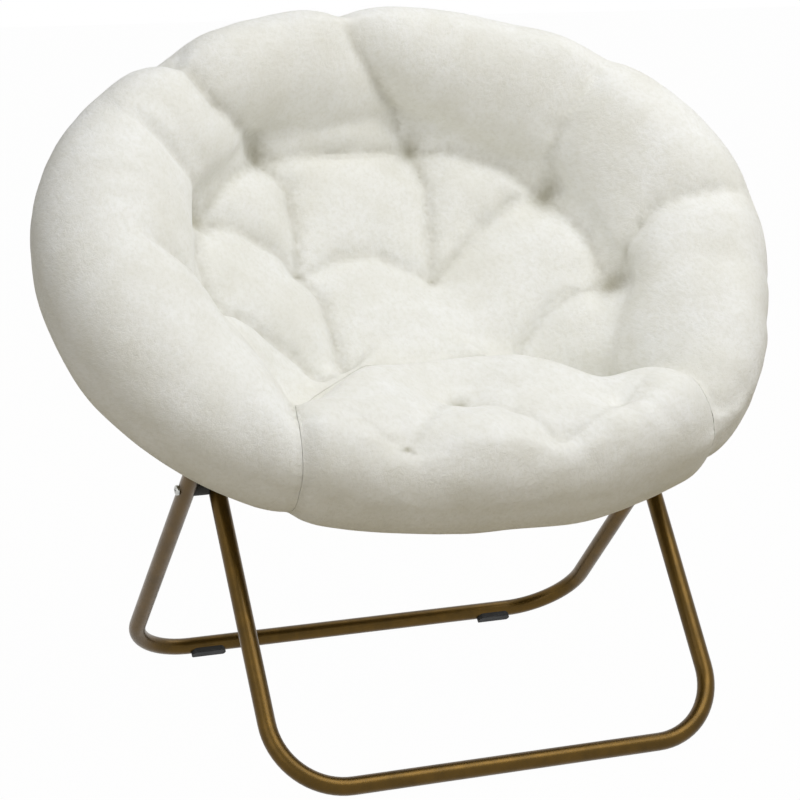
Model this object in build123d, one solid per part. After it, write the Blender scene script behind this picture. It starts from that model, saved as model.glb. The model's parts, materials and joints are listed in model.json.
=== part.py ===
from build123d import *
import math
import os

# Folding saucer chair: a tilted oval seat ring in two hinged halves, carried
# by two crossed U-shaped legs, with a deep tufted bowl cushion sewn over the
# ring.  X runs across the chair, the sitter faces -Y, Z is up, sizes are in
# millimetres.  The origin is on the floor, under the middle of the chair.

# ---- tube stock ----
tube_diameter = 22.0
tube_wall = 1.5

# ---- legs; stations along Y start at the front foot bar ----
rear_leg_half_width = 324.0
spacer_length = 15.5
leg_stance = 558.0
foot_bar_height = 15.0
foot_bend_radius = 88.0
cross_pivot_station = 244.0
cross_pivot_height = 324.0
leg_end_reach = 12.0

# ---- seat ring, an oval of four arcs in its own tilted plane ----
ring_height = 546.0
ring_tilt = 36.0
ring_half_width = 420.0
ring_half_depth = 340.0
ring_side_radius = 300.0
hinge_setback = 150.0
hinge_tube_gap = 22.5

# ---- ring hinge ----
knuckle_plate = 4.0
knuckle_eye_radius = 11.0
knuckle_plug_length = 12.0
knuckle_plug_clearance = 0.3
knuckle_neck_inset = 8.0
knuckle_neck_height = 19.0
washer_thickness = 1.0
washer_radius = 9.5
rivet_diameter = 8.0
rivet_head_radius = 7.5
rivet_head_height = 3.2

# ---- brackets that join the legs to the ring ----
rear_leg_drop = 26.0
rear_bracket_reach = 35.8
rear_saddle_setback = 3.0
front_pivot_inset = 1.3
bracket_sheet = 2.5
bracket_gap = 0.4
ear_radius = 11.0
saddle_height = 7.0
saddle_thickness = 2.5
saddle_half_length = 15.0
open_pivot_gap = 0.3
plug_length = 30.0

# ---- crossing of the legs ----
bolt_diameter = 6.0
bolt_head_radius = 6.5
bolt_head_height = 3.6
recess_width = 1.4
recess_length = 6.6
recess_depth = 2.0
spacer_radius = 9.0
cap_nut_radius = 6.2
cap_nut_hexagon = 4.0
nut_flange_radius = 8.0
nut_flange_height = 1.6

# ---- foot pads ----
pad_length = 48.0
pad_width = 15.0
pad_face_distance = 15.5
pad_stem_radius = 3.0
pad_stem_inset = 4.5

# ---- cushion ----
rim_overhang = 56.0
rim_half_height = 83.0
rim_lift = 39.0
rim_slope = 0.097
rim_floor = -20.0
bowl_floor = -62.0
bowl_under = -118.0
tuft_ring_radius = 272.0
tuft_ring_height = 4.0
centre_radius = 60.0
crown_swell = 7.0
bowl_channel_sag = 16.0
roll_channel_swell = 12.0
crown_lift = 26.0
channel_draw = 9.0
crest_draw = 16.0
belly_sag = 2.0
arc_share = 0.74
seat_half_width = 262.0
seat_rear_edge = 118.0
seat_corner_radius = 95.0
seat_thickness = 66.0
seat_crown = 16.0
seat_side_share = 0.45
seat_edge_round = 18.0
seat_section_count = 13
side_rise = 26.0
crest_setback = 6.0
seam_gap = 1.0
tuft_radius = 26.0
tuft_depth = 13.0

# ---- clearances ----
running_clearance = 0.06
bore_clearance = 0.05
side_clearance = 0.3
cloth_clearance = 0.5
pocket_clearance = 2.0
room_below_front = 80.0

# ---- worked out from the sizes above ----
tube_radius = tube_diameter / 2
bore_radius = tube_radius - tube_wall
rivet_radius = rivet_diameter / 2
bolt_radius = bolt_diameter / 2
front_leg_half_width = rear_leg_half_width - tube_diameter - spacer_length
side_arc_offset = ring_half_width - ring_side_radius
depth_past_side = ring_half_depth - ring_side_radius
ring_end_radius = (side_arc_offset**2 + ring_half_depth**2 - ring_side_radius**2) / (2 * depth_past_side)
ring_end_offset = ring_end_radius - ring_half_depth
join_angle = math.degrees(math.atan2(ring_end_offset, side_arc_offset))
join_reach = ring_side_radius * math.sin(math.radians(join_angle))
join_half_width = side_arc_offset + ring_side_radius * math.cos(math.radians(join_angle))


def ring_reach_at(x):
    """How far the ring's centre line lies before or behind its middle, x from the centre."""
    if x > join_half_width:
        return math.sqrt(ring_side_radius**2 - (x - side_arc_offset) ** 2)
    return math.sqrt(ring_end_radius**2 - x**2) - ring_end_offset


# Front pivots sit under the ring where it crosses the rear legs; that fixes
# the ring along the chair.  Rear pivots lie a bracket's reach before the ring.
tilt_sine = math.sin(math.radians(ring_tilt))
tilt_cosine = math.cos(math.radians(ring_tilt))
front_pivot_place = front_pivot_inset - ring_reach_at(rear_leg_half_width)
front_pivot_height = ring_height + front_pivot_place * tilt_sine - rear_leg_drop * tilt_cosine
rise_share = (front_pivot_height - foot_bar_height) / (cross_pivot_height - foot_bar_height)
front_pivot_station = leg_stance + (cross_pivot_station - leg_stance) * rise_share
ring_station = front_pivot_station - front_pivot_place * tilt_cosine - rear_leg_drop * tilt_sine
rear_saddle_place = ring_reach_at(front_leg_half_width) - rear_saddle_setback
rear_pivot_place = ring_reach_at(front_leg_half_width) - rear_bracket_reach

ring_plane = Plane(
    origin=(0, ring_station, ring_height),
    x_dir=(1, 0, 0),
    z_dir=(0, -tilt_sine, tilt_cosine),
)


def leg_plane(foot_station):
    """Plane of a U leg: X across, Y up the leg from the middle of its foot bar."""
    rise = Vector(0, cross_pivot_station - foot_station, cross_pivot_height - foot_bar_height).normalized()
    normal = Vector(1, 0, 0).cross(rise)
    return Plane(origin=(0, foot_station, foot_bar_height), x_dir=(1, 0, 0), z_dir=normal)


def leg_length_to(plane, place):
    """Distance up a leg to where it is level with a place along the ring's plane."""
    start = ring_plane.to_local_coords(plane.origin)
    step = ring_plane.to_local_coords(plane.origin + plane.y_dir) - start
    return (place - start.Y) / step.Y


front_leg_plane = leg_plane(0)
rear_leg_plane = leg_plane(leg_stance)
front_leg_length = leg_length_to(front_leg_plane, rear_pivot_place)
rear_leg_length = leg_length_to(rear_leg_plane, front_pivot_place)
rear_ear_point = ring_plane.to_local_coords(front_leg_plane.origin + front_leg_plane.y_dir * front_leg_length)
front_ear_point = ring_plane.to_local_coords(rear_leg_plane.origin + rear_leg_plane.y_dir * rear_leg_length)
cross_point = Vector(0, cross_pivot_station, cross_pivot_height)


def rod(centre, radius, length):
    """Cylinder along X about a centre."""
    return Pos(centre) * Rot(0, 90, 0) * Cylinder(radius, length)


def both_sides(right):
    """Right-hand piece and its mirror image."""
    return {"right": right, "left": mirror(right, about=Plane.YZ)}


def sweep_round(path, outer, inner=0.0):
    """Round bar, or tube with a bore, along a path."""
    section = Circle(outer) - Circle(inner) if inner else Circle(outer)
    return sweep(Plane(origin=path @ 0, z_dir=path % 0) * section, path)


# ---------------------------------------------------------------- legs

def leg_path(half_width, length):
    corners = [(-half_width, length), (-half_width, 0), (half_width, 0), (half_width, length)]
    return FilletPolyline(*corners, radius=foot_bend_radius)


def end_rounding(half_width, length):
    """What is cut off a leg's end so that it turns inside its bracket."""
    pivot = (half_width, length, 0)
    side = tube_diameter + 2
    block = Pos(half_width, length + side / 2, 0) * Box(side, side, side + 2)
    return block - rod(pivot, leg_end_reach, side)


def leg_tube(half_width, length, plane):
    """U-shaped leg with rounded, drilled ends and the holes for its foot pads."""
    reach = length + leg_end_reach
    tube = sweep_round(leg_path(half_width, reach), tube_radius, bore_radius)
    across = tube_diameter + 2
    cross = (plane.to_local_coords(cross_point)).Y
    for side in (-1, 1):
        tube -= end_rounding(side * half_width, length)
        tube -= rod((side * half_width, length, 0), rivet_radius + running_clearance, across)
        hole = bolt_radius if half_width == rear_leg_half_width else bolt_radius + running_clearance
        tube -= rod((side * half_width, cross, 0), hole, across)
    return tube


def inward_side(plane):
    """+1 or -1: the side of a leg's plane that looks down and under the chair."""
    return -1 if plane.z_dir.Z > 0 else 1


def pad_place(half_width):
    """Distance of a foot pad's middle from the chair's: its end meets the bend."""
    return half_width - foot_bend_radius - pad_length / 2


def foot_pad(half_width, plane):
    """Push-in pad on the inner face of a foot bar, flat where it meets the floor."""
    inward = inward_side(plane)
    place = pad_place(half_width)
    seat = Plane(origin=(place, 0, 0), x_dir=(1, 0, 0), z_dir=(0, 0, inward))
    start = tube_radius / 2
    body = seat * Pos(0, 0, start) * extrude(SlotOverall(pad_length, pad_width), pad_face_distance - start)
    body -= rod((place, 0, 0), tube_radius, pad_length * 2)
    stem_length = tube_radius - pad_stem_inset
    stem = seat * Pos(0, 0, pad_stem_inset) * extrude(Circle(pad_stem_radius), stem_length)
    pad = plane.location * (body + stem)
    depth = 2 * pad_length
    floor = Pos(place, plane.origin.Y, -depth / 2) * Box(depth, depth, depth)
    return pad - floor


def leg_plug(half_width, length, plane):
    """Plastic plug in a leg's end, drilled for the rivet that it bushes."""
    middle = length + leg_end_reach - plug_length / 2
    plug = Pos(half_width, middle, 0) * Rot(90, 0, 0) * Cylinder(bore_radius - bore_clearance, plug_length)
    plug -= end_rounding(half_width, length)
    plug -= rod((half_width, length, 0), rivet_radius + running_clearance, tube_diameter)
    return plane.location * plug


def make_legs():
    parts = {}
    legs = (
        ("rear", rear_leg_half_width, rear_leg_length, rear_leg_plane),
        ("front", front_leg_half_width, front_leg_length, front_leg_plane),
    )
    for name, half_width, length, plane in legs:
        tube = leg_tube(half_width, length, plane)
        inward = inward_side(plane)
        for side in (-1, 1):
            middle = (side * pad_place(half_width), 0, inward * tube_radius / 2)
            tube -= Pos(middle) * Cylinder(pad_stem_radius, tube_radius)
        parts[f"{name}_leg_tube"] = plane.location * tube
        for side, pad in both_sides(foot_pad(half_width, plane)).items():
            parts[f"{name}_foot_pad_{side}"] = pad
        for side, plug in both_sides(leg_plug(half_width, length, plane)).items():
            parts[f"{name}_leg_plug_{side}"] = plug
    return parts


# ---------------------------------------------------------------- crossing

def cross_bolt():
    """Cross-head bolt through both legs, its head on the outer leg's outer side."""
    outer_face = rear_leg_half_width + tube_radius
    inner_face = front_leg_half_width - tube_radius - side_clearance
    inner_end = inner_face - nut_flange_height - cap_nut_hexagon
    middle = (outer_face + inner_end) / 2
    shank = rod((middle, 0, 0), bolt_radius, outer_face - inner_end)
    head = rod((outer_face + bolt_head_height / 2, 0, 0), bolt_head_radius, bolt_head_height)
    rim = head.edges().filter_by(GeomType.CIRCLE).sort_by(Axis.X)[-1]
    head = fillet(rim, bolt_head_height * 0.6)
    top = outer_face + bolt_head_height
    for turn in (0, 90):
        slot = Box(recess_depth * 2, recess_width, recess_length)
        head -= Pos(top, 0, 0) * Rot(turn, 0, 0) * slot
    return Pos(cross_point) * (shank + head)


def cross_spacer():
    """Plastic block between the legs, saddled on the outer leg's tube."""
    start = front_leg_half_width + tube_radius + side_clearance
    end = rear_leg_half_width
    block = rod(((start + end) / 2, 0, 0), spacer_radius, end - start)
    block -= rod(((start + end) / 2, 0, 0), bolt_radius, tube_diameter * 2)
    block = Pos(cross_point) * block
    leg = rear_leg_plane.location * (Pos(rear_leg_half_width, 0, 0) * Rot(90, 0, 0) * Cylinder(tube_radius, 2000))
    return block - leg


def cap_nut():
    """Domed nut on the inner side of the front leg."""
    face = front_leg_half_width - tube_radius - side_clearance
    flange = rod((face - nut_flange_height / 2, 0, 0), nut_flange_radius, nut_flange_height)
    hexagon = extrude(RegularPolygon(cap_nut_radius, 6), cap_nut_hexagon)
    body = Pos(face - nut_flange_height, 0, 0) * Rot(0, -90, 0) * hexagon
    hole_length = nut_flange_height + cap_nut_hexagon
    dome_centre = face - hole_length
    dome = Pos(dome_centre, 0, 0) * Sphere(cap_nut_radius * 0.82)
    nut = flange + body + dome
    nut -= rod((face - hole_length / 2, 0, 0), bolt_radius, hole_length)
    return Pos(cross_point) * nut


def make_crossing():
    parts = {}
    for name, piece in (
        ("cross_bolt", cross_bolt()),
        ("cross_spacer", cross_spacer()),
        ("cross_cap_nut", cap_nut()),
    ):
        for side, solid in both_sides(piece).items():
            parts[f"{name}_{side}"] = solid
    return parts


# ---------------------------------------------------------------- seat ring

def ring_arc_at(place):
    """Centre and radius of the arc that the ring's right side follows at a place."""
    if abs(place) <= join_reach:
        return Vector(side_arc_offset, 0, 0), ring_side_radius
    return Vector(0, -math.copysign(ring_end_offset, place), 0), ring_end_radius


def ring_point(place):
    """Point of the ring's centre line on the right, at a place before or behind its middle."""
    centre, radius = ring_arc_at(place)
    return Vector(centre.X + math.sqrt(radius**2 - (place - centre.Y) ** 2), place, 0)


def ring_heading(place):
    """Direction of the ring's centre line there, towards the back."""
    outward = ring_point(place) - ring_arc_at(place)[0]
    return Vector(-outward.Y, outward.X, 0).normalized()


def ring_half_path(end_sign, start):
    """Centre line of a ring half from its right hinge end round to its left one."""
    joins = [side * join_reach for side in (-end_sign, end_sign)]
    stops = [start] + [place for place in joins if end_sign * (place - start) > 0]
    right = []
    for first, last in zip(stops[:-1], stops[1:]):
        right.append([ring_point(place) for place in (first, (first + last) / 2, last)])

    def left(point):
        return Vector(-point.X, point.Y, 0)

    turn = ring_point(stops[-1])
    corners = right + [[turn, Vector(0, end_sign * ring_half_depth, 0), left(turn)]]
    corners += [[left(point) for point in reversed(arc)] for arc in reversed(right)]
    return Wire([edge for arc in corners for edge in ThreePointArc(*arc).edges()])


hinge_half_width = ring_point(-hinge_setback).X
front_ring_start = -hinge_setback - hinge_tube_gap
rear_ring_start = -hinge_setback + hinge_tube_gap
front_ring_path = ring_half_path(-1, front_ring_start)
rear_ring_path = ring_half_path(1, rear_ring_start)


def hinge_knuckle(start, plate_middle):
    """Cast hinge end: a plug in the tube, a neck that flattens, and a flat eye."""
    away = math.copysign(1, start + hinge_setback)
    tube_end = Plane(origin=ring_point(start), x_dir=(0, 0, 1), z_dir=ring_heading(start) * away)
    plug = tube_end * extrude(Circle(bore_radius - knuckle_plug_clearance), knuckle_plug_length)
    eye_centre = Vector(plate_middle, -hinge_setback, 0)
    eye = rod(eye_centre, knuckle_eye_radius, knuckle_plate)
    flat = Plane(origin=eye_centre + Vector(0, away * knuckle_neck_inset, 0), x_dir=(0, 0, 1), z_dir=(0, away, 0))
    oval = flat * Ellipse(knuckle_neck_height / 2, knuckle_plate / 2 - bore_clearance)
    neck = loft([oval, tube_end * Circle(tube_radius)], ruled=True)
    return eye + neck + plug


def make_hinges():
    """Knuckles, washers and rivets on which the ring halves fold."""
    middle = hinge_half_width
    offset = (knuckle_plate + washer_thickness) / 2
    centre = Vector(middle, -hinge_setback, 0)
    front = hinge_knuckle(front_ring_start, middle - offset)
    rear = hinge_knuckle(rear_ring_start, middle + offset)
    front -= rod(centre, rivet_radius, knuckle_plate * 6)
    rear -= rod(centre, rivet_radius + running_clearance, knuckle_plate * 6)
    washer = rod(centre, washer_radius, washer_thickness) - rod(centre, rivet_radius, washer_thickness * 2)
    half_stack = offset + knuckle_plate / 2
    rivet = domed_rivet(centre, half_stack)
    parts = {}
    for name, piece in (
        ("front_ring_knuckle", front),
        ("rear_ring_knuckle", rear),
        ("ring_hinge_washer", washer),
        ("ring_hinge_rivet", rivet),
    ):
        for side, solid in both_sides(piece).items():
            parts[f"{name}_{side}"] = ring_plane.location * solid
    return parts


def rivet_head(centre, direction):
    """Low domed head standing on a face that looks along +X or -X."""
    ball_radius = (rivet_head_radius**2 + rivet_head_height**2) / (2 * rivet_head_height)
    half_turn = math.asin(rivet_head_radius / ball_radius) / 2
    sink = ball_radius - rivet_head_height
    middle = (direction * (ball_radius * math.cos(half_turn) - sink), ball_radius * math.sin(half_turn))
    top = (direction * rivet_head_height, 0)
    outline = Line((0, 0), top) + ThreePointArc(top, middle, (0, rivet_head_radius))
    outline += Line((0, rivet_head_radius), (0, 0))
    return Pos(centre) * revolve(make_face(outline), Axis.X)


def domed_rivet(centre, half_grip):
    """Rivet along X with a domed head at each end of its grip."""
    rivet = rod(centre, rivet_radius, 2 * half_grip)
    for direction in (-1, 1):
        rivet += rivet_head(centre + Vector(direction * half_grip, 0, 0), direction)
    return rivet


def ear_half_gap():
    return tube_radius + bracket_gap


def bracket_ears(pivot, reach_middle, ring_bar):
    """Two sheet ears round a leg's end, joined by a saddle under the ring tube."""
    bottom = -tube_radius - saddle_thickness
    top = bottom + saddle_height + saddle_thickness
    height = top - bottom
    ear = None
    for side in (-1, 1):
        face = pivot.X + side * (ear_half_gap() + bracket_sheet / 2)
        eye = rod((face, pivot.Y, pivot.Z), ear_radius, bracket_sheet)
        low = min(pivot.Y, reach_middle - saddle_half_length)
        high = reach_middle + saddle_half_length
        strap = Pos(face, (low + high) / 2, (top + bottom) / 2) * Box(bracket_sheet, high - low, height)
        lower = min(pivot.Z, bottom)
        web = Pos(face, pivot.Y, (top + lower) / 2) * Box(bracket_sheet, 2 * ear_radius, top - lower)
        plate = eye + strap + web
        ear = plate if ear is None else ear + plate
    width = 2 * (ear_half_gap() + bracket_sheet)
    saddle = Pos(pivot.X, reach_middle, (top + bottom) / 2) * Box(width, 2 * saddle_half_length, height)
    return (ear + saddle) - ring_bar


def make_brackets(front_bar, rear_bar):
    """Brackets welded under the ring, and the pins that the legs turn on."""
    grip = ear_half_gap() + bracket_sheet
    front_pivot = Vector(rear_leg_half_width, front_ear_point.Y, front_ear_point.Z)
    rear_pivot = Vector(front_leg_half_width, rear_ear_point.Y, rear_ear_point.Z)
    front = bracket_ears(front_pivot, front_pivot.Y, front_bar)
    front -= rod(front_pivot, rivet_radius, tube_diameter * 3)
    rear = bracket_ears(rear_pivot, rear_saddle_place, rear_bar)
    for direction in (-1, 1):
        rear += rivet_head(rear_pivot + Vector(direction * grip, 0, 0), direction)
    pin = rod(rear_pivot, rivet_radius, 2 * (ear_half_gap() - open_pivot_gap))
    parts = {}
    for name, piece in (
        ("front_ring_bracket", front),
        ("front_bracket_rivet", domed_rivet(front_pivot, grip)),
        ("rear_ring_bracket", rear),
        ("rear_bracket_pin", pin),
    ):
        for side, solid in both_sides(piece).items():
            parts[f"{name}_{side}"] = ring_plane.location * solid
    return parts


# ---------------------------------------------------------------- cushion

# Polar angles of the sewn channels on the right half, from the front of the
# bowl (-90) round to its back (90); the lobes swell between them.
channel_angles = (-56, -8, 26.5, 67, 113)
section_step = 7.0
channel_half_angle = 19.0
seam_angle = -45.0
seam_half_angle = 45.0
seam_crest_draw = 32.0
seam_wall_draw = 62.0


def crown_at(angle):
    """0 in a sewn channel, rising smoothly to 1 on the lobe beside it."""
    away = min(abs(angle - channel) for channel in channel_angles)
    return 1 - math.cos(math.pi / 2 * min(away / channel_half_angle, 1)) ** 2


def seam_pull_at(angle):
    """1 where the arm runs down into the seat's seam, 0 from 45 degrees beside it."""
    away = min(abs(angle - seam_angle) / seam_half_angle, 1)
    return math.cos(math.pi / 2 * away) ** 2


def ring_radius_at(angle):
    """Distance from the ring's middle to its centre line in a direction."""
    turn = math.radians(abs(angle))
    across = math.cos(turn)
    along = math.sin(turn)
    side = side_arc_offset * across
    reach = side + math.sqrt(side**2 + ring_side_radius**2 - side_arc_offset**2)
    if reach * along <= ring_side_radius * math.sin(math.radians(join_angle)):
        return reach
    back = -ring_end_offset * along
    return back + math.sqrt(back**2 + ring_end_radius**2 - ring_end_offset**2)


def bowl_section(angle):
    """Closed outline of the bowl cushion in one radial plane."""
    crown = crown_at(angle)
    ring = ring_radius_at(angle)
    drawn = (1 - crown) * channel_draw
    tip = ring + rim_overhang - drawn
    middle = rim_lift + rim_slope * ring * math.sin(math.radians(angle))
    pull = seam_pull_at(angle)
    top = middle + rim_half_height - (1 - crown) * crest_draw - pull * seam_crest_draw
    under = min(middle - rim_half_height, rim_floor)
    tuft_height = tuft_ring_height + crown * (1 - pull) * crown_lift - pull * seam_wall_draw
    bowl_sag = bowl_channel_sag - crown * crown_swell
    roll_swell = roll_channel_swell + crown * crown_swell
    points = {
        "centre_top": (centre_radius, bowl_floor),
        "bowl": ((centre_radius + tuft_ring_radius) / 2, (bowl_floor + tuft_height) / 2 - bowl_sag),
        "tuft": (tuft_ring_radius, tuft_height),
        "roll": ((tuft_ring_radius + ring) / 2 - roll_swell, (tuft_height + top) / 2 + roll_swell),
        "crest": (ring - drawn, top),
        "shoulder": (ring - drawn + rim_overhang * arc_share, middle + (top - middle) * arc_share),
        "tip": (tip, middle),
        "hip": (ring - drawn + rim_overhang * arc_share, middle + (under - middle) * arc_share),
        "under": (ring - drawn, under),
        "belly": ((centre_radius + ring) / 2, (bowl_under + under) / 2 - belly_sag),
        "centre_under": (centre_radius, bowl_under),
    }
    outline = ThreePointArc(points["centre_top"], points["bowl"], points["tuft"])
    outline += ThreePointArc(points["tuft"], points["roll"], points["crest"])
    outline += ThreePointArc(points["crest"], points["shoulder"], points["tip"])
    outline += ThreePointArc(points["tip"], points["hip"], points["under"])
    outline += ThreePointArc(points["under"], points["belly"], points["centre_under"])
    outline += Line(points["centre_under"], points["centre_top"])
    turn = math.radians(angle)
    plane = Plane(
        origin=(0, 0, 0),
        x_dir=(math.cos(turn), math.sin(turn), 0),
        z_dir=(math.sin(turn), -math.cos(turn), 0),
    )
    return plane * make_face(outline)


def bowl_half():
    """Right half of the bowl: lobed rim and crowned wall, open round the middle."""
    beyond = 2 * section_step
    count = math.ceil((180 + 2 * beyond) / section_step)
    step = (180 + 2 * beyond) / count
    whole = loft([bowl_section(-90 - beyond + index * step) for index in range(count + 1)])
    reach = 2 * ring_half_width
    return whole & (Pos(reach / 2, 0, 0) * Box(reach, 2 * reach, 2 * reach))


def bowl_middle():
    """Round pad in the middle of the bowl that the lobes run into."""
    height = bowl_floor - bowl_under
    return Pos(0, 0, bowl_under + height / 2) * Cylinder(centre_radius + 3, height)


def seat_outline(inset):
    """Plan of the seat pad's pocket: rounded rear corners, sides to the rim."""
    half = seat_half_width - inset
    rear = -seat_rear_edge - inset
    front = -(ring_half_depth + rim_overhang + 40)
    radius = seat_corner_radius - inset
    corner = radius * (1 - math.sqrt(0.5))
    outline = Line((-half, front), (half, front))
    outline += Line((half, front), (half, rear - radius))
    outline += ThreePointArc((half, rear - radius), (half - corner, rear - corner), (half - radius, rear))
    outline += Line((half - radius, rear), (-half + radius, rear))
    outline += ThreePointArc((-half + radius, rear), (-half + corner, rear - corner), (-half, rear - radius))
    outline += Line((-half, rear - radius), (-half, front))
    return make_face(outline)


def seat_rear_at(x):
    """Rear edge of the seat pad's plan, which turns forward at its corners."""
    past = max(abs(x) - (seat_half_width - seat_corner_radius), 0)
    return -seat_rear_edge - seat_corner_radius + math.sqrt(seat_corner_radius**2 - past**2)


def seat_section(x):
    """Closed outline of the seat pad in one lengthwise plane."""
    share = abs(x) / seat_half_width
    fullness = (1 - share**3) ** 0.5
    tip_radius = ring_end_radius + rim_overhang
    tip = ring_end_offset - math.sqrt(tip_radius**2 - x**2)
    crest = tip + rim_overhang + crest_setback
    middle = rim_lift + rim_slope * (tip + rim_overhang)
    top = middle + rim_half_height * (seat_side_share + (1 - seat_side_share) * fullness)
    under = middle - rim_half_height
    rear = seat_rear_at(x)
    rear_under = bowl_under + side_rise * share**2
    rear_top = rear_under + seat_thickness * (1 + fullness) / 2
    edge_under = (rear - seat_edge_round, rear_under)
    edge_top = (rear - seat_edge_round, rear_top)
    edge_middle = (rear - seam_gap, (rear_under + rear_top) / 2)
    crown = ((edge_top[0] + crest) / 2, (rear_top + top) / 2 + seat_crown * fullness)
    shoulder = (crest - (crest - tip) * arc_share, middle + (top - middle) * arc_share)
    hip = (crest - (crest - tip) * arc_share, middle + (under - middle) * arc_share)
    belly = ((crest + edge_under[0]) / 2, (under + rear_under) / 2 - belly_sag)
    outline = ThreePointArc(edge_under, edge_middle, edge_top)
    outline += ThreePointArc(edge_top, crown, (crest, top))
    outline += ThreePointArc((crest, top), shoulder, (tip, middle))
    outline += ThreePointArc((tip, middle), hip, (crest, under))
    outline += ThreePointArc((crest, under), belly, edge_under)
    plane = Plane(origin=(x, 0, 0), x_dir=(0, 1, 0), z_dir=(1, 0, 0))
    return plane * make_face(outline)


def seat_body():
    """Puffy seat pad, full in the middle and drawn in towards its side seams."""
    edge = seat_half_width - seam_gap
    half = seat_section_count // 2
    stations = [edge * math.sin(math.pi / 2 * index / half) for index in range(-half, half + 1)]
    return loft([seat_section(x) for x in stations])


def surface_height(solid, x, v):
    """Height of a solid's upper surface above the ring plane."""
    hits = solid.find_intersection_points(Axis((x, v, 600), (0, 0, -1)))
    return max(point.Z for point, normal in hits)


def press_tufts(solid, places):
    """Round hollows where a sewn tuft pulls the surface down."""
    hollows = []
    for x, v in places:
        height = surface_height(solid, x, v)
        hollows.append(Pos(x, v, height + tuft_radius - tuft_depth) * Sphere(tuft_radius))
    for hollow in hollows:
        solid -= hollow
    return solid


# Tuft places (x, v) in the ring plane: the right half's, mirrored to the left.
bowl_tufts = ((104, 240), (241, 138), (267, -14), (88, 71))
seat_tufts = ((95, -284), (206, -240))
seat_middle_tuft = (0, -196)


def pocket(centre, size):
    """Block of room for hardware inside the cushion, a clearance larger each way."""
    grown = [length + 2 * pocket_clearance for length in size]
    return Pos(centre) * Box(*grown)


def leg_relief(half_width, plane, length):
    """Room for a leg's upper end under the bowl, in the ring's coordinates."""
    radius = tube_radius + pocket_clearance
    start = plane.to_local_coords(cross_point).Y
    run = length + leg_end_reach + pocket_clearance - start
    bar = Pos(half_width, start + run / 2, 0) * Rot(90, 0, 0) * Cylinder(radius, run)
    return ring_plane.location.inverse() * (plane.location * bar)


def bracket_room(pivot, saddle_place, open_below):
    """Room for a bracket, its rivet and the leg's end that turns in it."""
    grip = 2 * (ear_half_gap() + bracket_sheet + rivet_head_height)
    near = min(pivot.Y - leg_end_reach, saddle_place - saddle_half_length)
    far = max(pivot.Y + leg_end_reach, saddle_place + saddle_half_length)
    low = min(pivot.Z - leg_end_reach, -tube_radius - saddle_thickness) - open_below
    return pocket((pivot.X, (near + far) / 2, low / 2), (grip, far - near, -low))


def hardware_room():
    """Everything on the right that the cushion gives way to."""
    front_pivot = Vector(rear_leg_half_width, front_ear_point.Y, front_ear_point.Z)
    rear_pivot = Vector(front_leg_half_width, rear_ear_point.Y, rear_ear_point.Z)
    hinge_centre = Vector(hinge_half_width, -hinge_setback, 0)
    hinge_length = 2 * hinge_tube_gap + tube_diameter
    return [
        bracket_room(front_pivot, front_pivot.Y, room_below_front),
        bracket_room(rear_pivot, rear_saddle_place, 0),
        pocket(hinge_centre, (hinge_length, hinge_length, tube_diameter)),
        leg_relief(front_leg_half_width, front_leg_plane, front_leg_length),
        leg_relief(rear_leg_half_width, rear_leg_plane, rear_leg_length),
    ]


def make_cushion():
    """Back-and-arms cushion and seat pad, cut clear of the ring and its hardware."""
    sleeve_radius = tube_radius + cloth_clearance
    front_sleeve = sweep_round(front_ring_path, sleeve_radius)
    rear_sleeve = sweep_round(rear_ring_path, sleeve_radius)
    span = 4 * rim_half_height
    lower = Pos(0, 0, -span)
    half = bowl_half() - lower * extrude(seat_outline(0), 2 * span)
    half = press_tufts(half, bowl_tufts)
    for room in hardware_room():
        half -= room
    middle = bowl_middle() - lower * extrude(seat_outline(0), 2 * span)
    back = half + mirror(half, about=Plane.YZ) + middle
    back -= front_sleeve
    back -= rear_sleeve
    seat = seat_body() & (lower * extrude(seat_outline(seam_gap), 2 * span))
    places = [(side * x, v) for x, v in seat_tufts for side in (-1, 1)] + [seat_middle_tuft]
    seat = press_tufts(seat, places) - front_sleeve
    return {
        "back_cushion": ring_plane.location * back,
        "seat_cushion": ring_plane.location * seat,
    }


def make_ring():
    front_bar = sweep_round(front_ring_path, tube_radius)
    rear_bar = sweep_round(rear_ring_path, tube_radius)
    parts = {
        "front_ring_tube": ring_plane.location * sweep_round(front_ring_path, tube_radius, bore_radius),
        "rear_ring_tube": ring_plane.location * sweep_round(rear_ring_path, tube_radius, bore_radius),
    }
    parts.update(make_hinges())
    parts.update(make_brackets(front_bar, rear_bar))
    return parts


def main():
    parts = {}
    parts.update(make_legs())
    parts.update(make_crossing())
    parts.update(make_ring())
    parts.update(make_cushion())
    boxes = [shape.bounding_box() for shape in parts.values()]
    front = min(box.min.Y for box in boxes)
    rear = max(box.max.Y for box in boxes)
    middle = (front + rear) / 2
    to_origin = Pos(0, -middle, 0)
    os.makedirs("parts", exist_ok=True)
    for name, shape in parts.items():
        export_step(to_origin * shape, f"parts/{name}.step")
    places = {
        "cross pivot": cross_point,
        "front bracket pivot": rear_leg_plane.origin + rear_leg_plane.y_dir * rear_leg_length,
        "rear bracket pivot": front_leg_plane.origin + front_leg_plane.y_dir * front_leg_length,
        "ring hinge": ring_plane.from_local_coords(Vector(0, -hinge_setback, 0)),
        "ring middle": ring_plane.origin,
    }
    print("depth", round(rear - front, 2), "height", round(max(box.max.Z for box in boxes), 2))
    for name, place in places.items():
        print(name, round(place.Y - middle, 3), round(place.Z, 3))


main()
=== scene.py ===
import json
import logging
import math
from dataclasses import dataclass
from enum import Enum

import bmesh
import bpy
import numpy as np
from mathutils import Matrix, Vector
from mathutils.bvhtree import BVHTree
from mathutils.kdtree import KDTree
from mathutils.noise import noise


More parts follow.
